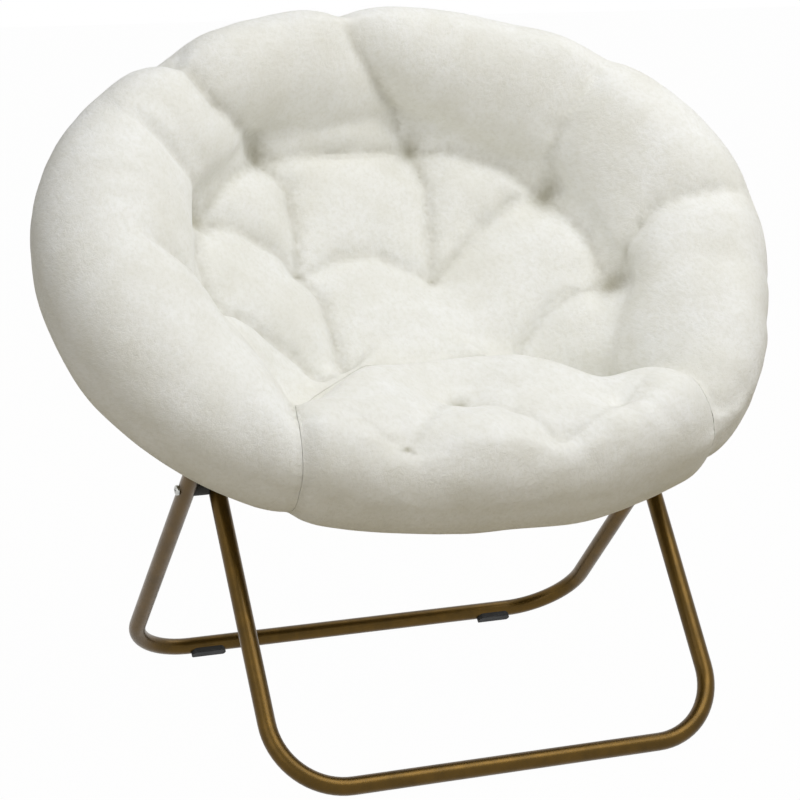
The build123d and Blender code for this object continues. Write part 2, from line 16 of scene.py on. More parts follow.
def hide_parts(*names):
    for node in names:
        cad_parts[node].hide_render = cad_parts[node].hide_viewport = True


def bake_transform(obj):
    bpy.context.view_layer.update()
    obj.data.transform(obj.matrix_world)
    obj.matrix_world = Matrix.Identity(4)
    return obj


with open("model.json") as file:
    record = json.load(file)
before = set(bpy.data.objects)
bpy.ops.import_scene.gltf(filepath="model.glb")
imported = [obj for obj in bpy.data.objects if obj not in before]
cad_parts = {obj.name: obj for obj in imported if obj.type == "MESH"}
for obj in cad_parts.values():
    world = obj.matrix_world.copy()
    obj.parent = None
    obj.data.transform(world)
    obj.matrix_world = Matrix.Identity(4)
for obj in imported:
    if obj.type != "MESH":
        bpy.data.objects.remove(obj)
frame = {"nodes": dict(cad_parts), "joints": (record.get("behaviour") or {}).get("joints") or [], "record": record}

LOG = logging.getLogger("saucer_chair")
Pair = tuple[float, float]
Triple = tuple[float, float, float]
Socket = bpy.types.NodeSocket


class Body(Enum):
    """The two halves of the seat ring, which carry the cover."""

    FRONT_RING = "front_ring"
    REAR_RING = "rear_ring"


class Cushion(Enum):
    """The two sewn parts of the cushion cover."""

    BACK = "back_cushion"
    SEAT = "seat_cushion"


@dataclass(frozen=True)
class RingFrame:
    """Coordinates of the tilted seat ring: x across, v up the back, n out of the bowl."""

    tilt: float = math.radians(36.0)
    hinge_setback: float = 0.150

    def centre(self) -> Vector:
        """Middle of the ring, worked out from the hinge between its halves."""
        hinge = next(j for j in frame["joints"] if j["name"] == "ring_fold")
        return Vector((0.0, hinge["pos_m"][1], hinge["pos_m"][2])) + self.up_back() * self.hinge_setback

    def up_back(self) -> Vector:
        """Direction up the back, in the ring's plane."""
        return Vector((0.0, math.cos(self.tilt), math.sin(self.tilt)))

    def outward(self) -> Vector:
        """Direction out of the bowl, square to the ring's plane."""
        return Vector((0.0, -math.sin(self.tilt), math.cos(self.tilt)))

    def basis(self) -> np.ndarray:
        """The three directions as rows."""
        return np.array([(1.0, 0.0, 0.0), self.up_back(), self.outward()])

    def to_world(self, points: np.ndarray) -> np.ndarray:
        """Places ring coordinates in the object's frame.

        Args:
            points: Rows of x, v, n in metres.

        Returns:
            Rows of x, y, z in metres.
        """
        return np.array(self.centre()) + points @ self.basis()

    def to_local(self, points: np.ndarray) -> np.ndarray:
        """Ring coordinates of places in the object's frame.

        Args:
            points: Rows of x, y, z in metres.

        Returns:
            Rows of x, v, n in metres.
        """
        return (points - np.array(self.centre())) @ self.basis().T

    def point(self, x: float, v: float, n: float) -> Vector:
        """One ring coordinate as a place in the object's frame."""
        return Vector(self.to_world(np.array([[x, v, n]]))[0])


RING = RingFrame()


@dataclass(frozen=True)
class RingOval:
    """Centre line of the seat ring, an oval of four arcs, in metres."""

    half_width: float = 0.420
    half_depth: float = 0.340
    side_radius: float = 0.300

    def radius(self, angle: float) -> float:
        """Distance from the middle to the centre line.

        Args:
            angle: Direction in degrees from +x towards +v.

        Returns:
            The distance in metres.
        """
        offset = self.half_width - self.side_radius
        past = self.half_depth - self.side_radius
        end_radius = (offset**2 + self.half_depth**2 - self.side_radius**2) / (2 * past)
        end_offset = end_radius - self.half_depth
        across = abs(math.cos(math.radians(angle)))
        along = abs(math.sin(math.radians(angle)))
        side = offset * across
        reach = side + math.sqrt(side**2 + self.side_radius**2 - offset**2)
        if reach * along <= self.side_radius * end_offset / math.hypot(end_offset, offset):
            return reach
        back = -end_offset * along
        return back + math.sqrt(back**2 + end_radius**2 - end_offset**2)


@dataclass(frozen=True)
class Channel:
    """A sewn channel or a fold, drawn through points on the cushion's surface."""

    points: tuple[Triple, ...]
    depth: float = 0.022
    width: float = 0.062
    fade: float = 0.3


@dataclass(frozen=True)
class Tuft:
    """A place where a stitch pulls the cushion's surface down."""

    place: Triple
    depth: float = 0.020
    reach: float = 0.024


def arc_points(start: Pair, through: Pair, end: Pair, count: int) -> np.ndarray:
    """Points along the arc through three places.

    Args:
        start: First place.
        through: A place on the arc between the ends.
        end: Last place.
        count: How many points, the last one left out.

    Returns:
        Rows of two coordinates.
    """
    a, b, c = (np.array(p, dtype=float) for p in (start, through, end))
    matrix = 2 * np.array([b - a, c - a])
    centre = np.linalg.solve(matrix, np.array([b @ b - a @ a, c @ c - a @ a]))
    radius = np.linalg.norm(a - centre)
    turns = [math.atan2(*(p - centre)[::-1]) for p in (a, b, c)]
    to_b = (turns[1] - turns[0]) % (2 * math.pi)
    to_c = (turns[2] - turns[0]) % (2 * math.pi)
    sweep = to_c if to_b <= to_c else to_c - 2 * math.pi
    steps = turns[0] + sweep * np.arange(count) / count
    return centre + radius * np.stack([np.cos(steps), np.sin(steps)], axis=1)


def distance_to_path(points: np.ndarray, path: np.ndarray) -> tuple[np.ndarray, np.ndarray]:
    """Distance of many points from a path of straight runs.

    Args:
        points: Rows of x, y, z.
        path: Rows of x, y, z along the path.

    Returns:
        The distances, and for each point how far along the path it is, 0 to 1.
    """
    best = np.full(len(points), np.inf)
    share = np.zeros(len(points))
    lengths = np.linalg.norm(np.diff(path, axis=0), axis=1)
    total = lengths.sum()
    before = 0.0
    for start, end, length in zip(path[:-1], path[1:], lengths):
        run = end - start
        along = np.clip(((points - start) @ run) / max(length**2, 1e-12), 0.0, 1.0)
        away = np.linalg.norm(points - (start + along[:, None] * run), axis=1)
        nearer = away < best
        best[nearer] = away[nearer]
        share[nearer] = ((before + along * length) / total)[nearer]
        before += length
    return best, share


def mesh_points(mesh: bpy.types.Mesh) -> np.ndarray:
    """Vertex places of a mesh as rows of x, y, z."""
    flat = np.empty(len(mesh.vertices) * 3)
    mesh.vertices.foreach_get("co", flat)
    return flat.reshape(-1, 3)


def mesh_normals(mesh: bpy.types.Mesh) -> np.ndarray:
    """Vertex normals of a mesh as rows of x, y, z."""
    flat = np.empty(len(mesh.vertices) * 3)
    mesh.vertex_normals.foreach_get("vector", flat)
    return flat.reshape(-1, 3)


def voxel_remeshed(piece: bpy.types.Object, size: float) -> bpy.types.Mesh:
    """Gives an object an even mesh.

    Args:
        piece: The object.
        size: Size of a voxel in metres.

    Returns:
        Its new mesh.
    """
    remesh = piece.modifiers.new("even_cloth", "REMESH")
    remesh.mode = "VOXEL"
    remesh.voxel_size = size
    return applied(piece)


def ramped(values: np.ndarray, start: float, run: float) -> np.ndarray:
    """Rises evenly from 0 at start to 1 a run further on.

    Args:
        values: Where to read the ramp.
        start: Where it leaves 0.
        run: How far on it reaches 1; below 0 it rises backwards.

    Returns:
        The heights, 0 to 1.
    """
    return np.clip((values - start) / run, 0.0, 1.0)


def set_mesh_points(mesh: bpy.types.Mesh, points: np.ndarray) -> None:
    """Moves a mesh's vertices.

    Args:
        mesh: The mesh.
        points: Rows of x, y, z, one for each vertex.
    """
    mesh.vertices.foreach_set("co", points.ravel())
    mesh.update()


def new_object(name: str, mesh: bpy.types.Mesh) -> bpy.types.Object:
    """Links a mesh into the scene as an object at the origin.

    Args:
        name: Name of the object and its mesh.
        mesh: The mesh.

    Returns:
        The object.
    """
    mesh.name = name
    piece = bpy.data.objects.new(name, mesh)
    bpy.context.scene.collection.objects.link(piece)
    return piece


def applied(piece: bpy.types.Object) -> bpy.types.Mesh:
    """Bakes an object's modifiers into its mesh.

    Args:
        piece: The object, whose modifiers are taken off.

    Returns:
        Its new mesh.
    """
    bpy.context.view_layer.update()
    graph = bpy.context.evaluated_depsgraph_get()
    mesh = bpy.data.meshes.new_from_object(piece.evaluated_get(graph))
    piece.modifiers.clear()
    piece.data = mesh
    return mesh


def smooth_noise(points: np.ndarray, size: float, seed: float) -> np.ndarray:
    """Slow noise over the surface, about -1 to 1.

    Args:
        points: Rows of x, y, z.
        size: Size of a patch in metres.
        seed: Shifts the pattern.

    Returns:
        One value for each point.
    """
    shift = Vector((seed, seed * 1.7, seed * 0.6))
    return np.array([noise(Vector(p) / size + shift) for p in points])


@dataclass(frozen=True)
class SeatPlan:
    """Sewn edge of the seat pad, seen square to the ring's plane."""

    half_width: float = 0.243
    rear_edge: float = 0.094
    widest: float = 0.330
    front: float = 0.520
    power: float = 2.2
    flare: float = 1.6
    right_flare: float = 0.055
    right_start: float = 0.04
    right_reach: float = 0.14
    block_foot: float = -0.3
    block_height: float = 0.7

    def half_at(self, v: np.ndarray) -> np.ndarray:
        """Half the pad's width at places along the ring's plane.

        Args:
            v: The places, in metres.

        Returns:
            The half widths, 0 behind the pad's rear edge.
        """
        past = np.clip(-self.widest - v, 0.0, None)
        share = ramped(v, -self.widest, self.widest - self.rear_edge)
        return self.half_width * (1 - share**self.power) ** (1 / self.power) + self.flare * past**2

    def edge(self, inset: float = 0.0) -> np.ndarray:
        """Line of the seam, from the right front round the rear to the left front.

        Args:
            inset: How far inside the seam the line runs.

        Returns:
            Rows of x and v.
        """
        turn = np.linspace(0.0, math.pi / 2, 36)
        x = self.half_width * np.cos(turn) ** (2 / self.power)
        v = -self.widest + (self.widest - self.rear_edge) * np.sin(turn) ** (2 / self.power)
        ahead = np.linspace(-self.front, -self.widest, 16, endpoint=False)
        right = np.concatenate([np.stack([self.half_at(ahead), ahead], 1), np.stack([x, v], 1)])
        path = np.concatenate([right, right[-2::-1] * (-1, 1)])
        path[:, 0] += self.right_shift(path)
        step = np.gradient(path, axis=0)
        inward = np.stack([-step[:, 1], step[:, 0]], 1) / np.linalg.norm(step, axis=1)[:, None]
        return path + inset * inward

    def right_shift(self, plan: np.ndarray) -> np.ndarray:
        """How far the seam runs wider on the right, as the photographed cover does.

        Args:
            plan: Rows that start with x and v.

        Returns:
            The shift at each point.
        """
        ahead = ramped(-plan[:, 1], self.rear_edge, self.right_start)
        return self.right_flare * ahead * ramped(plan[:, 0], 0.0, self.right_reach)

    def distance(self, local: np.ndarray) -> tuple[np.ndarray, np.ndarray]:
        """Distance of points from the seam in plan.

        Args:
            local: Rows of x, v, n in ring coordinates.

        Returns:
            The distances, and which points lie over the seat pad.
        """
        flat = local * (1.0, 1.0, 0.0)
        path = self.edge()
        away, _ = distance_to_path(flat, np.column_stack([path, np.zeros(len(path))]))
        return away, np.abs(local[:, 0] - self.right_shift(local)) < self.half_at(local[:, 1])

    def block(self, inset: float) -> bpy.types.Object:
        """Block with the pad's plan, to cut the cover along its seam.

        Args:
            inset: How far inside the seam its sides stand.

        Returns:
            The block.
        """
        work = bmesh.new()
        verts = [work.verts.new(RING.point(x, v, self.block_foot)) for x, v in self.edge(inset)]
        floor = work.faces.new(verts)
        raised = bmesh.ops.extrude_face_region(work, geom=[floor])
        tops = [item for item in raised["geom"] if isinstance(item, bmesh.types.BMVert)]
        bmesh.ops.translate(work, verts=tops, vec=RING.outward() * self.block_height)
        bmesh.ops.recalc_face_normals(work, faces=work.faces)
        mesh = bpy.data.meshes.new("seat_block")
        work.to_mesh(mesh)
        work.free()
        return new_object("seat_block", mesh)


def point_tree(points: np.ndarray) -> KDTree:
    """Search tree over points.

    Args:
        points: Rows of x, y, z.

    Returns:
        The tree, ready to be searched.
    """
    tree = KDTree(len(points))
    for index, place in enumerate(points):
        tree.insert(place, index)
    tree.balance()
    return tree


def puffed(away: np.ndarray, width: np.ndarray | float) -> np.ndarray:
    """Profile of a lobe beside a seam: 1 in the seam, rising like a ball to 0.

    Args:
        away: Distance from the seam.
        width: Where the profile ends.

    Returns:
        How much of the seam's depth is left at each point.
    """
    near = np.clip(away / width, 0.0, 1.0)
    return 1 - np.sqrt(1 - (1 - near) ** 2)


@dataclass
class TuftedCover:
    """The stuffed cover: a deep bowl with a fat rim and a seat pad, sewn and tufted.

    Lengths are in metres, angles in degrees, and heights stand over the ring's plane.
    """

    channels: list[Channel]
    tufts: list[Tuft]
    plan: SeatPlan = SeatPlan()
    oval: RingOval = RingOval()
    overhang: float = 0.056
    rim_half_height: float = 0.083
    rim_lift: float = 0.039
    rim_slope: float = 0.097
    rim_floor: float = -0.020
    bowl_floor: float = -0.058
    bowl_under: float = -0.118
    bowl_flat: float = 0.06
    arm_end: float = -34.0
    arm_fade: float = 18.0
    fullness: float = 0.74
    tuft_ring: float = 0.272
    tuft_height: float = 0.026
    seam_angle: float = -45.0
    seam_crest_draw: float = 0.016
    seam_wall_draw: float = 0.055
    seat_wall: float = 0.050
    spokes: int = 220
    voxel: float = 0.0058
    seam_gap: float = 0.0006
    crisp_angle: float = 48.0
    channel_shade_reach: float = 0.006
    tuft_shade_reach: float = 0.0055
    seam_shade_reach: float = 0.005
    pad_crown_run: float = 0.08
    filling_voxel: float = 0.011
    filling_steps: int = 20
    pressure: float = 30.0
    cap: float = 0.014
    slow_lift: float = 0.0022
    rim_crease: float = 0.0028
    pucker: float = 0.0024
    gathers: float = 0.0020
    gathers_reach: float = 0.036
    fill: float = 0.8
    right_valley: tuple[Pair, ...] = ((-80, 0.004), (-58, 0.016), (-44, 0.040), (-30, 0.044), (-10, 0.014))
    settled: tuple[Pair, ...] = (
        (-180, 0.004), (-165, 0.003), (-150, 0.0), (-125, -0.001), (-110, -0.006), (-98, -0.011),
        (-88, -0.009), (-75, 0.0), (-60, 0.009), (-50, 0.016), (-44, 0.016), (-35, 0.007), (-23, -0.005),
        (-13, -0.010), (-3, 0.0), (8, 0.008), (20, 0.014), (45, 0.013), (60, 0.006), (80, 0.002),
        (145, 0.0), (160, 0.006), (170, 0.006), (180, 0.004),
    )

    def section(self, angle: float) -> np.ndarray:
        """Closed outline of the cover in one radial plane.

        Args:
            angle: Direction of the plane in degrees, -90 at the front and 90 at the back.

        Returns:
            Rows of distance from the middle and height, from the middle's top to its underside.
        """
        away = min(abs(angle - self.seam_angle) / 45.0, 1.0)
        pull = math.cos(math.pi / 2 * away) ** 2
        part = min(max((self.arm_end - angle) / self.arm_fade, 0.0), 1.0)
        seat = part * part * (3 - 2 * part)
        ring = self.oval.radius(angle)
        middle = self.rim_lift + self.rim_slope * ring * math.sin(math.radians(angle))
        top = middle + self.rim_half_height - pull * self.seam_crest_draw
        under = min(middle - self.rim_half_height, self.rim_floor)
        tip = ring + self.overhang
        arm_wall = self.tuft_height - pull * self.seam_wall_draw
        wall = arm_wall + seat * (self.seat_wall - 0.02 * pull - arm_wall)
        swell = 0.019 - 0.014 * seat
        inner = (self.tuft_ring, wall)
        roll = ((self.tuft_ring + ring) / 2 - swell, (wall + top) / 2 + swell)
        bowl = (self.tuft_ring / 2 + 0.03, (self.bowl_floor + wall) / 2 - 0.012 + 0.020 * seat)
        side = ring + self.overhang * self.fullness
        shoulder = (side, middle + (top - middle) * self.fullness)
        hip = (side, middle + (under - middle) * self.fullness)
        belly = ((self.bowl_flat + ring) / 2, (self.bowl_under + under) / 2 - 0.002)
        return np.concatenate([
            np.linspace((0.0, self.bowl_floor - 0.001), (self.bowl_flat, self.bowl_floor), 8, endpoint=False),
            arc_points((self.bowl_flat, self.bowl_floor), bowl, inner, 26),
            arc_points(inner, roll, (ring, top), 20),
            arc_points((ring, top), shoulder, (tip, middle), 18),
            arc_points((tip, middle), hip, (ring, under), 18),
            arc_points((ring, under), belly, (self.bowl_flat, self.bowl_under), 30),
            np.linspace((self.bowl_flat, self.bowl_under), (0.0, self.bowl_under), 9),
        ])

    def shape(self) -> bpy.types.Object:
        """Spins a radial line into a disc, folds it over the sections and evens its mesh.

        Returns:
            The plain closed cover.
        """
        count = len(self.section(0.0))
        work = bmesh.new()
        line = [work.verts.new((index / (count - 1) + 1.0, 0.0, 0.0)) for index in range(count)]
        edges = [work.edges.new(pair) for pair in zip(line[:-1], line[1:])]
        bmesh.ops.spin(
            work, geom=line + edges, cent=(0, 0, 0), axis=(0, 0, 1), angle=2 * math.pi,
            steps=self.spokes, use_merge=True,
        )
        sections = {}
        for vert in work.verts:
            angle = round(math.degrees(math.atan2(vert.co.y, vert.co.x)), 3)
            index = round((vert.co.xy.length - 1.0) * (count - 1))
            folded = angle if abs(angle) <= 90 else math.copysign(180 - abs(angle), angle)
            if folded not in sections:
                sections[folded] = self.section(folded)
            reach, height = sections[folded][index]
            turn = math.radians(angle)
            vert.co = RING.point(reach * math.cos(turn), reach * math.sin(turn), height)
        bmesh.ops.remove_doubles(work, verts=work.verts, dist=1e-5)
        bmesh.ops.recalc_face_normals(work, faces=work.faces)
        mesh = bpy.data.meshes.new("whole_cover")
        work.to_mesh(mesh)
        work.free()
        piece = new_object("whole_cover", mesh)
        voxel_remeshed(piece, self.voxel)
        return piece

    def snapped(self, tree: BVHTree, channel: Channel) -> np.ndarray:
        """Lays a channel's points on the cushion's surface.

        Args:
            tree: The cushion's surface.
            channel: The channel, in ring coordinates.

        Returns:
            Rows of x, y, z along the channel.
        """
        corners = RING.to_world(np.array(channel.points))
        path = []
        for start, end in zip(corners[:-1], corners[1:]):
            for share in np.arange(0.0, 1.0, 0.25):
                path.append(start + (end - start) * share)
        path.append(corners[-1])
        return np.array([tree.find_nearest(Vector(p))[0] for p in path])

    def sew(self, piece: bpy.types.Object) -> np.ndarray:
        """Draws the surface in along seams, channels and tufts, crowns the seat pad, and paints shade into the
        channels, tufts and seam.

        Args:
            piece: The cover, whose mesh gets an attribute of painted shade for its channels, tufts and seam.

        Returns:
            How firmly the stitches hold each point, 0 to 1.
        """
        mesh = piece.data
        points = mesh_points(mesh)
        normals = mesh_normals(mesh)
        local = RING.to_local(points)
        tree = BVHTree.FromPolygons([v.co for v in mesh.vertices], [p.vertices[:] for p in mesh.polygons])
        total = np.zeros(len(points))
        # Painted shade: how much the cloth's colour is darkened in the channels, tufts and along the seam.
        shade = np.zeros(len(points))
        for channel in self.channels:
            away, share = distance_to_path(points, self.snapped(tree, channel))
            ends = ramped(np.minimum(share, 1 - share), 0.0, channel.fade)
            held = channel.depth * (0.3 + 0.7 * ends**0.6)
            total += (held * puffed(away, channel.width)) ** 3
            shade = np.maximum(shade, 0.5 * held / 0.034 * np.exp(-away / self.channel_shade_reach))
        for tuft in self.tufts:
            place = RING.to_world(np.array([tuft.place]))[0]
            away = np.linalg.norm(points - place, axis=1)
            away = np.maximum(away - away.min(), 0.0)
            total += (tuft.depth * np.exp(-away / tuft.reach)) ** 3
            shade = np.maximum(shade, 0.75 * np.exp(-away / self.tuft_shade_reach))
        away, over_seat = self.plan.distance(local)
        upper = ramped(local[:, 2], -0.075, 0.03)
        rear = ramped(local[:, 1], -self.plan.widest, 0.18)
        total += ((0.004 + (0.010 + 0.018 * rear) * upper) * puffed(away, 0.045 + 0.02 * rear)) ** 3
        shade = np.maximum(shade, (0.22 + 0.38 * rear) * np.exp(-away / self.seam_shade_reach) * upper)
        depth = np.cbrt(total)
        facing = np.clip(normals @ np.array(RING.outward()), 0.0, 1.0)
        bulge = (0.010 + 0.004 * rear) * facing
        crown = np.where(over_seat, 1 - puffed(away, self.pad_crown_run), 0.0) * bulge
        turn = np.degrees(np.arctan2(local[:, 1], local[:, 0]))
        right = np.interp(turn, *zip(*self.right_valley)) * ramped(local[:, 0], 0.10, 0.10)
        sunk = right * np.clip(1 - away / 0.13, 0.0, 1.0) ** 1.5 * np.clip(2.0 * facing, 0.0, 1.0)
        moved = points - normals * depth[:, None] + np.array(RING.outward()) * (crown - sunk)[:, None]
        set_mesh_points(mesh, moved)
        # Stores the painted shade on the mesh for the cloth's colour.
        painted_crease_shade = mesh.attributes.new("painted_crease_shade", "FLOAT", "POINT")
        painted_crease_shade.data.foreach_set("value", np.clip(shade, 0.0, 1.0))
        return np.clip(depth / 0.018, 0.0, 1.0)

    def pinned(self, local: np.ndarray) -> np.ndarray:
        """Holds the underside while the cover fills.

        Args:
            local: Rows of x, v, n in ring coordinates.

        Returns:
            One weight for each point, 0 or 1.
        """
        reach = np.hypot(local[:, 0], local[:, 1])
        under = (local[:, 2] < -0.03) & (reach > 0.2) | (local[:, 2] < -0.085)
        return np.where(under, 1.0, 0.0)

    def fill_out(self, piece: bpy.types.Object, stitched: np.ndarray) -> None:
        """Swells the cover with a short pressure simulation, held at its stitches.

        The simulation runs on a coarser copy, and its movement is carried over.

        Args:
            piece: The cover.
            stitched: How firmly the stitches hold each point.
        """
        fine = mesh_points(piece.data)
        proxy = new_object("filling_proxy", piece.data.copy())
        before = mesh_points(voxel_remeshed(proxy, self.filling_voxel))
        held = self.pinned(RING.to_local(before))
        near = point_tree(fine)
        firm = np.clip(2.2 * stitched - 1.0, 0.0, 1.0)
        group = proxy.vertex_groups.new(name="held")
        for index, place in enumerate(before):
            weight = max(float(held[index]), float(firm[near.find(place)[1]]))
            if weight > 0.02:
                group.add([index], weight, "REPLACE")
        cloth = proxy.modifiers.new("filling", "CLOTH")
        for name, value in (
            ("quality", 5), ("mass", 0.004), ("tension_stiffness", 6.0), ("compression_stiffness", 6.0),
            ("shear_stiffness", 3.0), ("bending_stiffness", 0.1), ("air_damping", 1.0),
            ("use_pressure", True), ("uniform_pressure_force", self.pressure),
            ("vertex_group_mass", group.name),
        ):
            setattr(cloth.settings, name, value)
        cloth.settings.effector_weights.gravity = 0.0
        cloth.collision_settings.use_collision = False
        cloth.collision_settings.use_self_collision = False
        scene = bpy.context.scene
        for step in range(1, self.filling_steps + 1):
            scene.frame_set(step)
        graph = bpy.context.evaluated_depsgraph_get()
        moved = mesh_points(proxy.evaluated_get(graph).data) - before
        size = np.linalg.norm(moved, axis=1)
        moved *= np.minimum(1.0, self.cap / np.maximum(size, 1e-9))[:, None]
        bpy.data.objects.remove(proxy)
        scene.frame_set(1)
        near = point_tree(before)
        carried = np.empty_like(fine)
        for index, place in enumerate(fine):
            found = near.find_n(place, 5)
            shares = np.array([1.0 / (gap + 0.002) for _, _, gap in found])
            carried[index] = shares @ moved[[other for _, other, _ in found]] / shares.sum()
        set_mesh_points(piece.data, fine + carried)
        LOG.info("filling moved the cover %.1f mm on average", size.mean() * 1000)

    def gather(self, piece: bpy.types.Object, stitched: np.ndarray) -> None:
        """Adds gathers round the stitches, creases across the rim and slow unevenness.

        Args:
            piece: The cover.
            stitched: How firmly the stitches hold each point.
        """
        mesh = piece.data
        points = mesh_points(mesh)
        normals = mesh_normals(mesh)
        local = RING.to_local(points)
        reach = np.hypot(local[:, 0], local[:, 1])
        turn = np.arctan2(local[:, 1], local[:, 0])
        lift = self.slow_lift * smooth_noise(points, 0.085, 3.0)
        spread = np.stack([turn * 0.42 / 0.024, reach / 0.15, local[:, 2] / 0.15], 1)
        patches = np.clip(0.25 + 1.4 * smooth_noise(points, 0.13, 5.0), 0.0, 1.0)
        rim = ramped(reach, 0.24, 0.08) * ramped(local[:, 2], -0.02, 0.04)
        lift += self.rim_crease * smooth_noise(spread, 1.0, 7.0) * patches * rim
        lift += np.interp(np.degrees(turn), *zip(*self.settled)) * ramped(reach, 0.29, 0.08)
        lift += self.pucker * stitched * smooth_noise(points, 0.020, 11.0)
        phase = smooth_noise(points, 0.030, 9.0)
        for number, tuft in enumerate(self.tufts):
            place = RING.to_world(np.array([tuft.place]))[0]
            offset = points - place
            away = np.linalg.norm(offset, axis=1)
            outward = normals[int(np.argmin(away))]
            side = np.cross(outward, (0.3, 1.0, 0.2))
            side /= np.linalg.norm(side)
            other = np.cross(outward, side)
            bearing = np.arctan2(offset @ other, offset @ side)
            ripple = np.sin((7 + number % 4) * bearing + 2.5 * phase + number)
            lift += self.gathers * ripple * np.exp(-away / self.gathers_reach) * ramped(away, 0.0, 0.014)
        set_mesh_points(mesh, points + normals * lift[:, None])

    def keep_seam_crisp(self, mesh: bpy.types.Mesh) -> None:
        """Smooths the cloth but keeps the cut along the seam sharp.

        Args:
            mesh: One part of the cover.
        """
        work = bmesh.new()
        work.from_mesh(mesh)
        crisp = work.edges.layers.float.get("crease_edge") or work.edges.layers.float.new("crease_edge")
        for face in work.faces:
            face.smooth = True
        for edge in work.edges:
            if len(edge.link_faces) == 2 and edge.calc_face_angle(0.0) > math.radians(self.crisp_angle):
                edge[crisp] = 1.0
                edge.smooth = False
        work.to_mesh(mesh)
        work.free()

    def split(self, whole: bpy.types.Object, finish: "FurFinish") -> dict[Cushion, bpy.types.Object]:
        """Parts the cover along the seam into the back and the seat pad.

        Args:
            whole: The sewn cover, which is taken away.
            finish: The cover's cloth.

        Returns:
            The two pieces.
        """
        count = len(whole.data.vertices)
        # Painted shade of the channels, tufts and seam, carried over to both cut pieces below.
        painted_crease_shade = np.empty(count)
        whole.data.attributes["painted_crease_shade"].data.foreach_get("value", painted_crease_shade)
        near = point_tree(mesh_points(whole.data))
        voxel_remeshed(whole, self.voxel)
        pieces = {}
        for node, name, operation, inset in (
            (Cushion.BACK, "back_cover", "DIFFERENCE", 0.0),
            (Cushion.SEAT, "seat_cover", "INTERSECT", self.seam_gap),
        ):
            piece = new_object(name, whole.data.copy())
            cutter = self.plan.block(inset)
            cut = piece.modifiers.new("seam", "BOOLEAN")
            cut.object = cutter
            cut.operation = operation
            cut.solver = "EXACT"
            mesh = applied(piece)
            bpy.data.objects.remove(cutter)
            values = [painted_crease_shade[near.find(place)[1]] for place in mesh_points(mesh)]
            if "painted_crease_shade" in mesh.attributes:
                mesh.attributes.remove(mesh.attributes["painted_crease_shade"])
            mesh.attributes.new("painted_crease_shade", "FLOAT", "POINT").data.foreach_set("value", values)
            self.keep_seam_crisp(mesh)
            surface = piece.modifiers.new("smooth_cloth", "SUBSURF")
            surface.levels = surface.render_levels = 1
            mesh.materials.clear()
            mesh.materials.append(finish.material())
            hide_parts(node.value)
            if not mesh.polygons:
                raise RuntimeError(f"{name} came out empty")
            LOG.info("%s: %d faces", name, len(mesh.polygons))
            pieces[node] = piece
        bpy.data.objects.remove(whole)
        return pieces

    def make(self, finish: "FurFinish") -> dict[Cushion, bpy.types.Object]:
        """Builds, sews, fills, parts and dresses the cover.

        Args:
            finish: The cover's cloth.

        Returns:
            The back and the seat pad.
        """
        whole = self.shape()
        stitched = self.sew(whole)
        self.fill_out(whole, stitched)
        self.gather(whole, stitched)
        return self.split(whole, finish)


class NodeTree:
    """Small helper that adds and joins shader nodes in one tree."""

    def __init__(self, tree: bpy.types.NodeTree) -> None:
        """Keeps the tree and empties it."""
        self.tree = tree
        tree.nodes.clear()

    def add(self, kind: str, **values: object) -> bpy.types.Node:
        """Adds a node.

        Args:
            kind: The node's type name.
            **values: Properties of the node to set.

        Returns:
            The node.
        """
        node = self.tree.nodes.new(kind)
        for key, value in values.items():
            setattr(node, key, value)
        return node

    def join(self, output: Socket, target: Socket) -> None:
        """Links an output to an input."""
        self.tree.links.new(output, target)

    def noise(self, vector: Socket, scale: float, detail: float = 4.0, rough: float = 0.6) -> Socket:
        """Adds a noise texture.

        Args:
            vector: The coordinates.
            scale: Features per metre.
            detail: Octaves.
            rough: Weight of the finer octaves.

        Returns:
            Its factor.
        """
        node = self.add("ShaderNodeTexNoise")
        node.inputs["Scale"].default_value = scale
        node.inputs["Detail"].default_value = detail
        node.inputs["Roughness"].default_value = rough
        self.join(vector, node.inputs["Vector"])
        return node.outputs["Fac"]

    def ramp(self, value: Socket, low: float, high: float, out_low: float, out_high: float) -> Socket:
        """Maps one range of a value to another, clamped.

        Args:
            value: The value.
            low: Start of its range.
            high: End of its range.
            out_low: Result at the start.
            out_high: Result at the end.

        Returns:
            The mapped value.
        """
        node = self.add("ShaderNodeMapRange")
        numbers = {"From Min": low, "From Max": high, "To Min": out_low, "To Max": out_high}
        for name, number in numbers.items():
            node.inputs[name].default_value = number
        self.join(value, node.inputs["Value"])
        return node.outputs["Result"]

    def bump(self, height: Socket, distance: float, strength: float) -> bpy.types.Node:
        """Adds a bump.

        Args:
            height: The relief, 0 to 1.
            distance: Its real depth in metres.
            strength: How much of it shows.

        Returns:
            The node.
        """
        node = self.add("ShaderNodeBump")
        node.inputs["Distance"].default_value = distance
        node.inputs["Strength"].default_value = strength
        self.join(height, node.inputs["Height"])
        return node

    def mix(self, share: Socket, first: object, second: object) -> Socket:
        """Mixes two colours.

        Args:
            share: How much of the second.
            first: A colour or a socket.
            second: A colour or a socket.

        Returns:
            The mixed colour.
        """
        node = self.add("ShaderNodeMix", data_type="RGBA")
        self.join(share, node.inputs["Factor"])
        for socket, colour in ((node.inputs[6], first), (node.inputs[7], second)):
            if isinstance(colour, Socket):
                self.join(colour, socket)
            else:
                socket.default_value = (*colour, 1.0)
        return node.outputs[2]


def linear(red: int, green: int, blue: int) -> Triple:
    """Screen colour from 0 to 255 as the linear colour that a shader takes."""
    def channel(value: int) -> float:
        """One channel."""
        share = value / 255
        return share / 12.92 if share <= 0.04045 else ((share + 0.055) / 1.055) ** 2.4

    return channel(red), channel(green), channel(blue)


